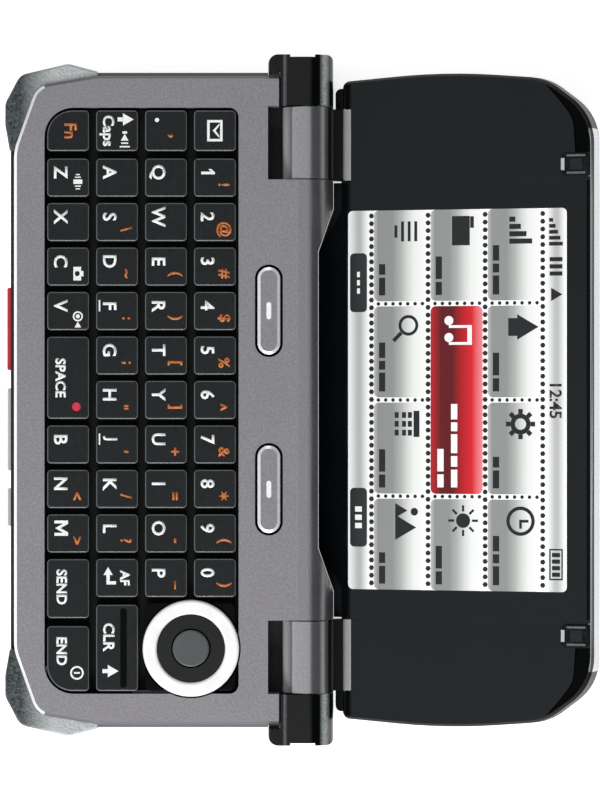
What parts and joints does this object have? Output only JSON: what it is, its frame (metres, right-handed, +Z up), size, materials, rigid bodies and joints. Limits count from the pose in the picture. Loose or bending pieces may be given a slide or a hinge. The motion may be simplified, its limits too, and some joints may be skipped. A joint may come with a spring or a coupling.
{
  "type": "flip phone",
  "caption": "Rugged sideways flip phone lying open, with a full letter keyboard, a wide inner display and rubber corner bumpers.",
  "frame": {"origin": "on the plane of the underside, in the middle of the open phone's length and depth", "axes": "+X along the phone's length and the hinge, +Y from the user's edge towards the open lid, +Z up out of the keyboard"},
  "size_m": [0.1166, 0.1004, 0.0191],
  "materials": {
    "grey_plate": "satin metallic paint",
    "dark_shell": "fine texture",
    "silver_lid": "silver paint",
    "hinge_silver": "metallic paint",
    "black_rubber": "fine ribs",
    "black_plastic": "satin",
    "black_gloss": "gloss",
    "key_plastic": "satin with printed legends",
    "ring_silver": "satin",
    "red_key": "satin",
    "silver_key": "satin",
    "steel": "ground",
    "green_board": "solder mask",
    "contact_gold": "plated",
    "battery_grey": "wrapped",
    "display_glass": "display",
    "pad_grey": "soft"
  },
  "bodies": {
    "base": {"rear_shell": "dark_shell", "face_plate": "grey_plate", "hinge_cover": "hinge_silver", "case_seal": "black_rubber", "corner_bumpers": "black_rubber", "hinge_end_caps": "black_plastic", "hinge_pins": "steel", "main_board": "green_board", "keypad_mat": "black_rubber", "case_screws": "steel", "battery_pack": "battery_grey", "battery_contacts": "contact_gold", "camera_module": "black_gloss", "loudspeaker": "steel", "vibration_motor": "steel", "charging_connector": "steel", "headset_socket": "black_plastic", "side_switches": "black_plastic"},
    "lid": {"lid_frame": "silver_lid", "lid_outer_shell": "dark_shell", "display_window": "black_gloss", "wing_panels": "black_gloss", "lid_pads": "pad_grey", "display_module": "display_glass", "lid_board": "green_board", "receiver": "steel", "outer_display": "display_glass", "outer_window": "black_gloss", "hinge_cartridges": "steel", "lid_screws": "steel"},
    "navigation_ring": {"nav_ring": "ring_silver", "nav_well": "black_gloss"},
    "battery_cover": {"battery_cover": "dark_shell"},
    "battery_cover_lock": {"battery_cover_lock": "silver_key"},
    "charging_port_cover": {"charging_port_cover": "black_rubber"},
    "headset_port_cover": {"headset_port_cover": "black_rubber"},
    "vibration_weight": {"vibration_weight": "steel"},
    "message_key": {"message_key": "key_plastic"},
    "period_key": {"period_key": "key_plastic"},
    "caps_key": {"caps_key": "key_plastic"},
    "function_key": {"function_key": "key_plastic"},
    "enter_key": {"enter_key": "key_plastic"},
    "clear_key": {"clear_key": "key_plastic"},
    "space_key": {"space_key": "key_plastic"},
    "send_key": {"send_key": "key_plastic"},
    "end_key": {"end_key": "key_plastic"},
    "digit_keys": {"digit_keys": "key_plastic"},
    "upper_letter_keys": {"upper_letter_keys": "key_plastic"},
    "middle_letter_keys": {"middle_letter_keys": "key_plastic"},
    "lower_letter_keys": {"lower_letter_keys": "key_plastic"},
    "softkey_left": {"softkey_left": "key_plastic"},
    "softkey_right": {"softkey_right": "key_plastic"},
    "nav_carrier": {"nav_carrier": "black_plastic"},
    "ok_key": {"ok_key": "key_plastic"},
    "talk_key": {"talk_key": "red_key"},
    "volume_rocker": {"volume_rocker": "silver_key"},
    "camera_key": {"camera_key": "silver_key"},
    "dial_keys": {"dial_keys": "key_plastic"},
    "outer_call_key": {"outer_call_key": "key_plastic"},
    "outer_end_key": {"outer_end_key": "key_plastic"}
  },
  "joints": [
    {"name": "lid_hinge", "type": "hinge", "parent": "base", "child": "lid", "pos_m": [0, 0.00098, 0.0087], "axis": [1, 0, 0], "range_deg": [0, 162]},
    {"name": "message_key_press", "type": "slide", "parent": "base", "child": "message_key", "axis": [0, 0, -1], "range_m": [0, 0.0003], "stiffness_N_per_m": 2000},
    {"name": "period_key_press", "type": "slide", "parent": "base", "child": "period_key", "axis": [0, 0, -1], "range_m": [0, 0.0003], "stiffness_N_per_m": 2000},
    {"name": "caps_key_press", "type": "slide", "parent": "base", "child": "caps_key", "axis": [0, 0, -1], "range_m": [0, 0.0003], "stiffness_N_per_m": 2000},
    {"name": "function_key_press", "type": "slide", "parent": "base", "child": "function_key", "axis": [0, 0, -1], "range_m": [0, 0.0003], "stiffness_N_per_m": 2000},
    {"name": "enter_key_press", "type": "slide", "parent": "base", "child": "enter_key", "axis": [0, 0, -1], "range_m": [0, 0.0003], "stiffness_N_per_m": 2000},
    {"name": "clear_key_press", "type": "slide", "parent": "base", "child": "clear_key", "axis": [0, 0, -1], "range_m": [0, 0.0003], "stiffness_N_per_m": 2000},
    {"name": "space_key_press", "type": "slide", "parent": "base", "child": "space_key", "axis": [0, 0, -1], "range_m": [0, 0.0003], "stiffness_N_per_m": 2000},
    {"name": "send_key_press", "type": "slide", "parent": "base", "child": "send_key", "axis": [0, 0, -1], "range_m": [0, 0.0003], "stiffness_N_per_m": 2000},
    {"name": "end_key_press", "type": "slide", "parent": "base", "child": "end_key", "axis": [0, 0, -1], "range_m": [0, 0.0003], "stiffness_N_per_m": 2000},
    {"name": "digit_keys_press", "type": "slide", "parent": "base", "child": "digit_keys", "axis": [0, 0, -1], "range_m": [0, 0.0003], "stiffness_N_per_m": 2000},
    {"name": "upper_letter_keys_press", "type": "slide", "parent": "base", "child": "upper_letter_keys", "axis": [0, 0, -1], "range_m": [0, 0.0003], "stiffness_N_per_m": 2000},
    {"name": "middle_letter_keys_press", "type": "slide", "parent": "base", "child": "middle_letter_keys", "axis": [0, 0, -1], "range_m": [0, 0.0003], "stiffness_N_per_m": 2000},
    {"name": "lower_letter_keys_press", "type": "slide", "parent": "base", "child": "lower_letter_keys", "axis": [0, 0, -1], "range_m": [0, 0.0003], "stiffness_N_per_m": 2000},
    {"name": "softkey_left_press", "type": "slide", "parent": "base", "child": "softkey_left", "axis": [0, 0, -1], "range_m": [0, 0.0003], "stiffness_N_per_m": 2000},
    {"name": "softkey_right_press", "type": "slide", "parent": "base", "child": "softkey_right", "axis": [0, 0, -1], "range_m": [0, 0.0003], "stiffness_N_per_m": 2000},
    {"name": "ok_key_press", "type": "slide", "parent": "base", "child": "ok_key", "axis": [0, 0, -1], "range_m": [0, 0.0003], "stiffness_N_per_m": 2000},
    {"name": "talk_key_press", "type": "slide", "parent": "base", "child": "talk_key", "axis": [0, 1, 0], "range_m": [0, 0.0004], "stiffness_N_per_m": 2000},
    {"name": "camera_key_press", "type": "slide", "parent": "base", "child": "camera_key", "axis": [0, 1, 0], "range_m": [0, 0.0004], "stiffness_N_per_m": 2000},
    {"name": "dial_keys_press", "type": "slide", "parent": "lid", "child": "dial_keys", "axis": [0, -0.309, 0.9511], "range_m": [0, 0.0003], "stiffness_N_per_m": 2000},
    {"name": "outer_call_key_press", "type": "slide", "parent": "lid", "child": "outer_call_key", "axis": [0, -0.309, 0.9511], "range_m": [0, 0.0003], "stiffness_N_per_m": 2000},
    {"name": "outer_end_key_press", "type": "slide", "parent": "lid", "child": "outer_end_key", "axis": [0, -0.309, 0.9511], "range_m": [0, 0.0003], "stiffness_N_per_m": 2000},
    {"name": "ring_tilt_fore_aft", "type": "hinge", "parent": "base", "child": "nav_carrier", "pos_m": [0.0419, -0.01877, 0.0108], "axis": [1, 0, 0], "range_deg": [-1.6, 1.6], "stiffness_Nm_per_rad": 0.4},
    {"name": "ring_tilt_sideways", "type": "hinge", "parent": "nav_carrier", "child": "navigation_ring", "pos_m": [0.0419, -0.01877, 0.0108], "axis": [0, 1, 0], "range_deg": [-1.6, 1.6], "stiffness_Nm_per_rad": 0.4},
    {"name": "volume_rocker_tilt", "type": "hinge", "parent": "base", "child": "volume_rocker", "pos_m": [0.005, -0.04677, 0.0048], "axis": [0, 0, 1], "range_deg": [-2, 2], "stiffness_Nm_per_rad": 0.4},
    {"name": "battery_cover_lift", "type": "slide", "parent": "base", "child": "battery_cover", "axis": [0, 0, -1], "range_m": [0, 0.012]},
    {"name": "cover_lock_turn", "type": "hinge", "parent": "battery_cover", "child": "battery_cover_lock", "pos_m": [0.0374, -0.02462, 0.0006], "axis": [0, 0, 1], "range_deg": [0, 90]},
    {"name": "charging_cover_swing", "type": "hinge", "parent": "base", "child": "charging_port_cover", "pos_m": [0.0555, -0.01952, 0.006], "axis": [0, 0, 1], "range_deg": [0, 110]},
    {"name": "headset_cover_swing", "type": "hinge", "parent": "base", "child": "headset_port_cover", "pos_m": [-0.0555, -0.02102, 0.0047], "axis": [0, 0, -1], "range_deg": [0, 110]},
    {"name": "vibration_weight_spin", "type": "hinge", "parent": "base", "child": "vibration_weight", "pos_m": [0.0467, -0.03782, 0.0036], "axis": [0, 1, 0], "continuous": true}
  ]
}
